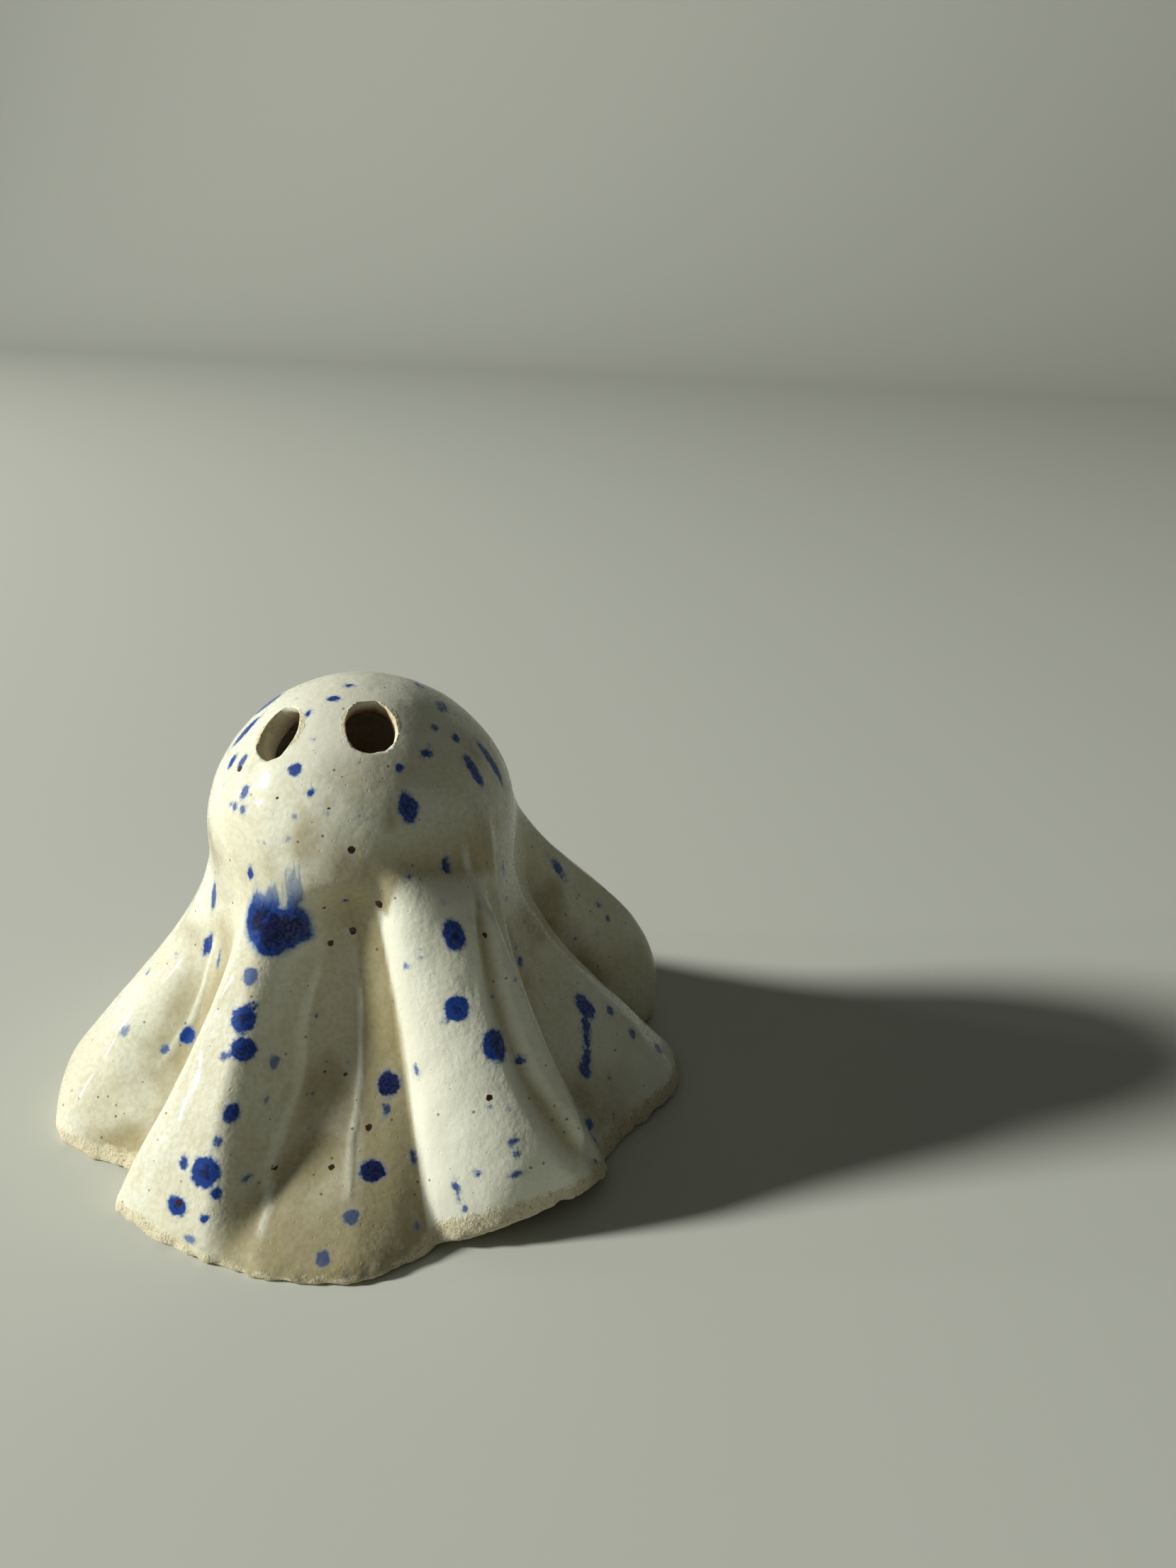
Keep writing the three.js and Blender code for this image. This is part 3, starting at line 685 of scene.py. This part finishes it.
# Finishes
class Value:
    """A node's output, which sums and products turn into Math nodes."""

    def __init__(self, finish, socket):
        self.finish, self.socket = finish, socket

    def math(self, operation, first, second=0.0):
        return self.finish.node("ShaderNodeMath", {"operation": operation}, {0: first, 1: second})

    def __add__(self, other):
        return self.math("ADD", self, other)

    def __radd__(self, other):
        return self.math("ADD", other, self)

    def __sub__(self, other):
        return self.math("SUBTRACT", self, other)

    def __rsub__(self, other):
        return self.math("SUBTRACT", other, self)

    def __mul__(self, other):
        return self.math("MULTIPLY", self, other)

    def __rmul__(self, other):
        return self.math("MULTIPLY", other, self)

    def most(self, other):
        return self.math("MAXIMUM", self, other)

    def least(self, other):
        return self.math("MINIMUM", self, other)

    def between(self, low, high):
        """0 below low and 1 above high, with a smooth step from one to the other."""
        return self.finish.node("ShaderNodeMapRange", {"interpolation_type": "SMOOTHSTEP"},
                                {0: self, 1: low, 2: high})


class Nodes:
    """A tree of shader nodes."""

    def __init__(self, tree):
        self.tree = tree
        self.tree.nodes.clear()

    def node(self, kind, settings=None, inputs=None, output=0):
        made = self.tree.nodes.new(kind)
        for key, value in (settings or {}).items():
            setattr(made, key, value)
        for key, value in (inputs or {}).items():
            if isinstance(value, Value):
                self.tree.links.new(value.socket, made.inputs[key])
            else:
                made.inputs[key].default_value = value
        return Value(self, made.outputs[output]) if made.outputs else None


class Finish(Nodes):
    """A material's nodes. Lengths are in millimetres on Object coordinates."""

    def __init__(self, name):
        self.material = bpy.data.materials.new(name)
        self.material.use_nodes = True
        super().__init__(self.material.node_tree)
        place_of = self.node("ShaderNodeTexCoord", output="Object")
        self.place = self.node("ShaderNodeVectorMath", {"operation": "SCALE"},
                               {0: place_of, "Scale": 1 / MM})

    def painted(self, name):
        return self.node("ShaderNodeAttribute", {"attribute_name": name}, output="Fac")

    def stretched(self, x, y, z):
        return self.node("ShaderNodeVectorMath", {"operation": "MULTIPLY"},
                         {0: self.place, 1: (x, y, z)})

    def clouds(self, size, detail=2.0, roughness=0.5, place=None):
        """Noise about 0.5, with lumps of this size."""
        return self.node("ShaderNodeTexNoise", {}, {
            "Vector": place or self.place, "Scale": 1 / size, "Detail": detail,
            "Roughness": roughness})

    def cells(self, size, output="Distance"):
        return self.node("ShaderNodeTexVoronoi", {}, {"Vector": self.place, "Scale": 1 / size},
                         output)

    def mix(self, first, second, part):
        return self.node("ShaderNodeMix", {"data_type": "RGBA"}, {0: part, 6: first, 7: second}, 2)

    def tint(self, color, other, part):
        return self.node("ShaderNodeMix", {"data_type": "RGBA", "blend_type": "MULTIPLY"},
                         {0: part, 6: color, 7: other}, 2)

    def done(self, height=None, **sockets):
        """Ends the material in a Principled shader, with a relief given in millimetres."""
        inputs = {key.replace("_", " "): value for key, value in sockets.items()}
        if height is not None:
            inputs["Normal"] = self.node("ShaderNodeBump", {}, {"Distance": MM, "Height": height})
        shader = self.node("ShaderNodeBsdfPrincipled", {}, inputs)
        self.node("ShaderNodeOutputMaterial", {}, {"Surface": shader})
        return self.material


def srgb(red, green, blue):
    """A colour written as on a screen, 0 to 255, in the linear values that nodes take."""
    return (*(((c / 255 + 0.055) / 1.055) ** 2.4 if c > 10 else c / 255 / 12.92
              for c in (red, green, blue)), 1)


# The tan is darker than the thin glaze's own, so it also serves as painted shade
CREAM, WHITE, TAN_AND_SHADE = srgb(226, 223, 199), srgb(234, 237, 221), srgb(158, 144, 98)
COBALT, COBALT_POOL, COBALT_EDGE = srgb(9, 58, 140), srgb(1, 8, 62), srgb(84, 132, 184)
IRON_BROWN, SPECK_BROWN = srgb(54, 16, 12), srgb(84, 56, 36)
# The inside's pale clay is lightened further as painted light, so it looks lit through the eyes
CLAY, CLAY_SAND, CLAY_INSIDE_AND_LIGHT = srgb(226, 218, 188), srgb(190, 174, 134), srgb(246, 238, 216)
# The bright cream is painted light, for the finger's face and the crown
AMBER, PALE_AND_LIT = srgb(188, 122, 66), srgb(243, 244, 226)


def stoneware():
    """Cream glaze with cobalt splatter and iron specks, and bare sandy clay at the cut edges."""
    f = Finish("glazed_stoneware")
    inner, level, eye = f.painted("inner"), f.painted("level"), f.painted("eye")
    drip, full = f.painted("drip"), f.painted("fullness")
    grain = f.clouds(0.35, 3)
    # Glaze: white where it pools, tan where it runs thin over the clay, and the same tan as painted
    # shade over the front valley, the apron, the neck above the finger and the groove
    patches = f.clouds(16, 2)
    streaks = f.clouds(5, 2, place=f.stretched(1, 1, 0.2))
    thin_and_shade = (f.clouds(12, 2) + streaks * 0.35 - full * 0.05).between(0.6, 1.0)
    thin_and_shade = thin_and_shade.most(f.painted("valley"))
    glaze = f.mix(CREAM, WHITE, (patches + streaks * 0.3).between(0.5, 0.8))
    glaze = f.mix(glaze, TAN_AND_SHADE, thin_and_shade * 0.8)
    glaze = f.mix(glaze, WHITE, drip * 0.7)
    mottle = f.clouds(0.8, 3)
    glaze = f.tint(glaze, srgb(246, 243, 234), mottle.between(0.4, 0.62))
    # Painted light: the finger's face and the crown lightened
    glaze = f.mix(glaze, PALE_AND_LIT, f.painted("pale"))
    # Fine brown specks that come through the glaze
    speck_size = f.node("ShaderNodeSeparateColor", {}, {0: f.cells(1.7, "Color")})
    specks = f.cells(1.7) - (speck_size - 0.45) * 0.2
    glaze = f.mix(glaze, SPECK_BROWN, (1 - specks.between(0, 0.06)) * 0.7)
    # Cobalt: a deep middle, a grainy blue, and a scalloped edge with pale grains beyond it
    grains = (f.clouds(0.55, 2, 0.7) - 0.5) * 1.5
    ragged = (f.clouds(1.3, 2, 0.6) - 0.5) * 1.3 + grains * 0.45
    strength = f.painted("strength")
    spot = f.painted("cobalt") + ragged * 0.75
    body = spot.between(-0.14, 0.26) * (strength * 0.8 + 0.35).least(1)
    halo = (spot + grains * 0.5).between(-0.45, 0.1) * strength * 0.5
    # The blotch ran upwards out of focus: streaks that pale towards their tips
    streak = (f.clouds(0.8, 3, 0.6, f.stretched(1, 1, 0.13)) - 0.5) * 3.6
    up = (level + streak * 0.9 - 41.6).between(0, 4.6)
    blotch = f.painted("blotch") + ragged * 0.6 + streak * up
    smear = blotch.between(-0.1, 0.4) * (1 - up * 0.6)
    halo = halo.most(blotch.between(-0.7, 0.3) * (1 - up * 0.4) * 0.6)
    body = body.most(smear)
    deep = f.clouds(1.4, 3, 0.65)
    pool = (spot * 0.45 + deep * 1.5 - 0.75).between(0, 0.9) * strength
    pool = pool.most((blotch * 0.35 + deep * 1.3 - up).between(0.6, 1.3))
    blue = f.mix(COBALT, COBALT_POOL, (pool + grains * 0.5).between(0.25, 1.1))
    blue = f.mix(blue, COBALT_EDGE, (1 - strength.between(0.2, 0.85)) * (1 - smear) * 0.6)
    # Painted shade: spots in the valley's painted places turn towards the deep pool colour
    blue = f.mix(blue, COBALT_POOL, f.painted("valley") * strength * 0.9)
    glaze = f.mix(glaze, COBALT_EDGE, halo)
    glaze = f.mix(glaze, blue, body)
    iron = (f.painted("iron") + ragged * 0.3 - 0.06).between(-0.05, 0.06)
    glaze = f.mix(glaze, IRON_BROWN, iron)
    # Bare clay: the cut hem, the rims of the eyes and the inside
    crumble = (f.clouds(1.8, 4, 0.7) - 0.5) * 3.4
    hem = 1 - (level + crumble).between(2.3, 3.1)
    rim = 1 - (eye + crumble * 0.35).between(0.35, 0.85)
    bare = hem.most(rim).most(inner)
    sand = f.mix(CLAY, CLAY_SAND, grain.between(0.5, 0.7))
    # Painted light: the inside is lighter than its clay
    sand = f.mix(sand, CLAY_INSIDE_AND_LIGHT, inner)
    # An amber tint painted inside, behind the right eye
    sand = f.tint(sand, AMBER, f.painted("amber_tint"))
    color = f.mix(glaze, sand, bare)
    ripple = full.between(0.1, 1.2) * 0.04 + 0.035
    peel = f.clouds(2.8, 1) * 0.1 + f.clouds(0.85, 1) * ripple
    gloss = f.clouds(0.5, 1).between(0.4, 0.58) * 0.6 + 0.2
    pits = f.cells(1.3).between(0.02, 0.16) * 0.035
    crumbs = f.clouds(0.6, 4, 0.7) * 0.3
    height = (peel + pits) * (1 - bare) + crumbs * bare
    return f.done(
        height=height, Base_Color=color, Roughness=0.5 + bare * 0.4, Coat_Weight=gloss * (1 - bare),
        Coat_Roughness=0.06, IOR=1.45, Specular_IOR_Level=0.14)


def foil():
    """Thin pressed aluminium with fine draw lines."""
    f = Finish("cup_aluminium")
    lines = f.clouds(1.4, 3, place=f.stretched(1, 1, 0.05))
    dents = f.clouds(6, 2)
    color = f.mix(srgb(204, 207, 210), srgb(178, 181, 186), lines.between(0.35, 0.7))
    return f.done(height=lines * 0.03 + dents * 0.12, Base_Color=color, Metallic=1.0,
                  Roughness=0.24 + lines * 0.16)


def candle_wax():
    """White wax, a little mottled, its sheen varying with the mottling."""
    f = Finish("tealight_wax")
    bloom = f.clouds(2.6, 4, 0.6)
    color = f.mix(srgb(238, 233, 219), srgb(247, 244, 235), bloom.between(0.35, 0.65))
    return f.done(height=bloom * 0.06 + f.clouds(0.7, 2) * 0.02, Base_Color=color,
                  Roughness=0.34 + bloom * 0.2, Subsurface_Weight=0.15,
                  Subsurface_Radius=(0.004, 0.003, 0.002), Subsurface_Scale=1.0)


def waxed_cotton():
    """Waxed cotton braid, charred towards the tip."""
    f = Finish("wick_cotton")
    height = f.node("ShaderNodeSeparateXYZ", {}, {0: f.place}, "Z")
    charred = (height + (f.clouds(0.9, 3) - 0.5) * 4).between(15.2, 17.4)
    fibres = f.clouds(0.22, 3, place=f.stretched(1, 1, 0.35))
    cotton = f.mix(srgb(214, 202, 174), srgb(168, 150, 116), fibres.between(0.35, 0.65))
    color = f.mix(cotton, srgb(30, 26, 24), charred)
    return f.done(height=fibres * 0.12, Base_Color=color, Roughness=0.55 + charred * 0.35)


def tinned_plate():
    """Thin tinned steel of the wick's holder."""
    f = Finish("sustainer_steel")
    rolled = f.clouds(0.8, 3, place=f.stretched(0.12, 1, 1))
    color = f.mix(srgb(190, 192, 194), srgb(158, 160, 164), rolled.between(0.35, 0.7))
    return f.done(height=rolled * 0.02, Base_Color=color, Metallic=1.0,
                  Roughness=0.3 + rolled * 0.15)


def turned_piece(name, profile, sides):
    """A turned body from a profile of radius and height in millimetres that ends on the axis."""
    (radius, z), *others = profile
    bpy.ops.object.select_all(action="DESELECT")
    bpy.ops.mesh.primitive_circle_add(vertices=sides, radius=radius * MM, location=(0, 0, z * MM))
    piece = named(name)
    bpy.ops.object.mode_set(mode="EDIT")
    bpy.ops.mesh.select_mode(type="EDGE")
    bpy.ops.mesh.select_all(action="SELECT")
    for next_radius, next_z in others:
        bpy.ops.mesh.extrude_edges_move(TRANSFORM_OT_translate={"value": (0, 0, (next_z - z) * MM)})
        scale = next_radius / radius
        bpy.ops.transform.resize(value=(scale, scale, 1), center_override=(0, 0, next_z * MM))
        radius, z = next_radius, next_z
    bpy.ops.mesh.select_all(action="SELECT")
    bpy.ops.mesh.remove_doubles(threshold=0.002 * MM)
    bpy.ops.mesh.normals_make_consistent(inside=False)
    bpy.ops.object.mode_set(mode="OBJECT")
    settle(piece)
    bpy.ops.object.shade_smooth_by_angle(angle=math.radians(38))
    return piece


def arc_points(centre_radius, centre_z, radius, start, end, count):
    """Points of an arc in a profile, from a start to an end angle in degrees."""
    return [(centre_radius + radius * math.cos(math.radians(mix(start, end, i / count))),
             centre_z + radius * math.sin(math.radians(mix(start, end, i / count))))
            for i in range(count + 1)]


def seated(piece, node, body, finish):
    piece.data.materials.clear()
    piece.data.materials.append(finish)
    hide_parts(node)
    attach(piece, body)


def foil_cup():
    """The cup: a rolled lip, a shallow bead round the wall and a stepped floor."""
    wall, top, foot, roll = CUP_RADIUS, CUP_HEIGHT, CUP_FOOT, CUP_ROLL
    inner = wall - CUP_SKIN
    profile = [(0.01, 0.35), (wall - 4.2, 0.35), (wall - 3.6, 0.05)]
    profile += arc_points(wall - foot, foot, foot, -90, 0, 6)
    profile += arc_points(wall, CUP_BEAD, 0.22, -90, 90, 5)
    profile += arc_points(wall + 0.02, top - roll, roll, -80, 170, 12)
    profile += [(inner, top - 1.6)]
    profile += arc_points(inner - foot + 0.2, foot + 0.1, foot - 0.2, 0, -90, 6)
    profile += [(wall - 4.0, 0.5), (0.01, 0.62)]
    cup = turned_piece("foil_cup", profile, 144)
    seated(cup, "tealight_cup", "tealight", foil())


def wax_filling():
    """The wax, which creeps up the cup's wall and the wick, with a shallow pool between."""
    low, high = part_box("tealight_wax")
    edge, bottom, top = high.x / MM, low.z / MM, high.z / MM
    level = top - WAX_CREEP
    profile = [(WICK_HOLE, 5.4), (2.05, 5.4), (2.05, 1.3), (6.85, 1.25), (6.9, bottom + 0.02)]
    profile += [(edge - 1.3, bottom + 0.02), (edge - 0.02, bottom + 1.25)]
    profile += [(edge - 0.02, top - 0.1), (edge - 0.12, top - 0.03)]
    profile += [(edge - 0.12 - 2.2 * i / 8, level + (WAX_CREEP - 0.03) * (1 - i / 8) ** 2.6)
                for i in range(1, 9)]
    profile += [(mix(edge - 2.4, 3.4, i / 6), level - WAX_DISH * math.sin(math.pi * i / 6))
                for i in range(1, 6)]
    profile += [(mix(3.4, WICK_HOLE, i / 7), level + (WAX_CREEP - 0.03) * (i / 7) ** 2.4)
                for i in range(8)]
    profile += [(WICK_HOLE, 5.45)]
    wax = turned_piece("wax_filling", profile, 120)
    seated(wax, "tealight_wax", "tealight", candle_wax())


def braided_wick():
    """The wick: a cylinder drawn into three plaited strands, its burnt tip leaning and pinched."""
    low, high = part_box("tealight_wick")
    length = high.z - low.z - 0.1 * MM
    bpy.ops.object.select_all(action="DESELECT")
    bpy.ops.mesh.primitive_cylinder_add(vertices=36, radius=WICK_RADIUS * MM, depth=length)
    wick = named("braided_wick")
    bpy.ops.object.mode_set(mode="EDIT")
    bpy.ops.mesh.select_all(action="DESELECT")
    bpy.ops.mesh.select_mode(type="EDGE")
    bpy.ops.object.mode_set(mode="OBJECT")
    for side in wick.data.edges:
        a, b = (wick.data.vertices[i].co for i in side.vertices)
        side.select = abs(a.z - b.z) > 0.5 * length
    bpy.ops.object.mode_set(mode="EDIT")
    bpy.ops.mesh.subdivide(number_cuts=WICK_CUTS)
    bpy.ops.object.mode_set(mode="OBJECT")
    points = points_of(wick)
    angle, up = np.arctan2(points[:, 1], points[:, 0]), points[:, 2] / length + 0.5
    z = up * length / MM
    one_way = np.abs(np.sin(1.5 * angle + WICK_TWIST * z))
    other_way = np.abs(np.sin(1.5 * angle - WICK_TWIST * z))
    strands = 1 + 0.1 * one_way + 0.1 * other_way
    burnt = ease((up - 0.8) / 0.2)
    points[:, :2] *= ((strands - 0.12) * (1 - 0.3 * burnt))[:, None]
    lean = ease((up - 0.62) / 0.5)
    points[:, 0] += (high.x - 0.72 * MM) * lean ** 1.2
    points[:, 2] += low.z + 0.05 * MM + length / 2
    move_points(wick, points)
    select_only(wick)
    bpy.ops.object.shade_smooth_by_angle(angle=math.radians(50))
    seated(wick, "tealight_wick", "tealight", waxed_cotton())


# Stage
FLOOR_SIZE = 3
# Lamps: place in metres, size, power and colour. The window is the photograph's light. The two
# glints hardly add light and are there for the fine highlights along the glazed folds
LAMPS = {
    "window_left": ((-1.892, -0.638, 0.954), 0.33, 63, (1, 0.995, 0.94)),
    "fill_front": ((-0.4, -1.15, 1.2), 1.6, 0.6, (0.99, 1, 0.92)),
    "glint_left": ((-2.123, -0.222, 0.558), 0.088, 2.1, (1, 1, 1)),
    "glint_front": ((-1.892, -0.946, 0.624), 0.088, 2.1, (1, 1, 1)),
}
LAMP_AIM = Vector((0, 0, 0.03))


def floor():
    """A plain pale floor that runs up behind into a backdrop, in one sweep."""
    bpy.ops.object.select_all(action="DESELECT")
    bpy.ops.mesh.primitive_plane_add(size=FLOOR_SIZE, location=(0, FLOOR_SIZE * 0.2, 0))
    ground = named("floor")
    settle(ground)
    bpy.ops.object.mode_set(mode="EDIT")
    bpy.ops.mesh.select_all(action="DESELECT")
    bpy.ops.mesh.select_mode(type="EDGE")
    bpy.ops.object.mode_set(mode="OBJECT")
    for edge in ground.data.edges:
        edge.select = all(ground.data.vertices[i].co.y > 0 for i in edge.vertices)
    bpy.ops.object.mode_set(mode="EDIT")
    bpy.ops.mesh.extrude_edges_move(TRANSFORM_OT_translate={"value": (0, 0, FLOOR_SIZE * 0.6)})
    bpy.ops.object.mode_set(mode="OBJECT")
    for edge in ground.data.edges:
        edge.select = all(ground.data.vertices[i].co.y > 0 and ground.data.vertices[i].co.z < 0.1
                          for i in edge.vertices)
    bpy.ops.object.mode_set(mode="EDIT")
    bpy.ops.mesh.bevel(offset=FLOOR_SIZE * 0.25, segments=24)
    bpy.ops.object.mode_set(mode="OBJECT")
    bpy.ops.object.shade_smooth()
    matt = Finish("floor")
    ground.data.materials.append(matt.done(
        Base_Color=srgb(206, 209, 200), Roughness=0.9, Specular_IOR_Level=0.2))


def soft_light(name, location, size, power, color):
    data = bpy.data.lights.new(name, "AREA")
    data.shape, data.size, data.energy, data.color = "DISK", size, power, color
    lamp = bpy.data.objects.new(name, data)
    bpy.context.scene.collection.objects.link(lamp)
    lamp.location = location
    lamp.rotation_mode = "QUATERNION"
    lamp.rotation_quaternion = (LAMP_AIM - lamp.location).to_track_quat("-Z", "Y")


def studio():
    """The lamps, and a world that gives little light but is brighter to the eye and the glaze."""
    for name, lamp in LAMPS.items():
        soft_light(name, *lamp)
    world = bpy.data.worlds.new("studio")
    bpy.context.scene.world = world
    world.use_nodes = True
    sky = Nodes(world.node_tree)
    rays = [sky.node("ShaderNodeLightPath", output="Is %s Ray" % kind)
            for kind in ("Camera", "Glossy", "Transmission")]
    strength = 0.06 + (0.54 * rays[0]).most(0.36 * rays[1].most(rays[2]))
    background = sky.node("ShaderNodeBackground", {},
                          {"Color": srgb(212, 214, 200), "Strength": strength})
    sky.node("ShaderNodeOutputWorld", {}, {"Surface": background})


def photo_camera():
    """The photograph's camera: a phone about 23 cm away, 22 degrees down, tilted by 1.5."""
    data = bpy.data.cameras.new("photo_camera")
    data.lens, data.sensor_width, data.sensor_fit = CAMERA_LENS, CAMERA_FILM, "AUTO"
    data.clip_start = 0.01
    camera = bpy.data.objects.new("photo_camera", data)
    bpy.context.scene.collection.objects.link(camera)
    right, down, forward = (Vector(v) for v in CAMERA_TURN)
    turned = Matrix((right, -down, -forward)).transposed().to_4x4()
    camera.matrix_world = Matrix.Translation(CAMERA_PLACE) @ turned
    bpy.context.scene.camera = camera


floor()
studio()
photo_camera()
glazed_ghost()
foil_cup()
wax_filling()
braided_wick()
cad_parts["wick_sustainer"].data.materials.clear()
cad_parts["wick_sustainer"].data.materials.append(tinned_plate())
bpy.context.scene.view_settings.view_transform = "Standard"
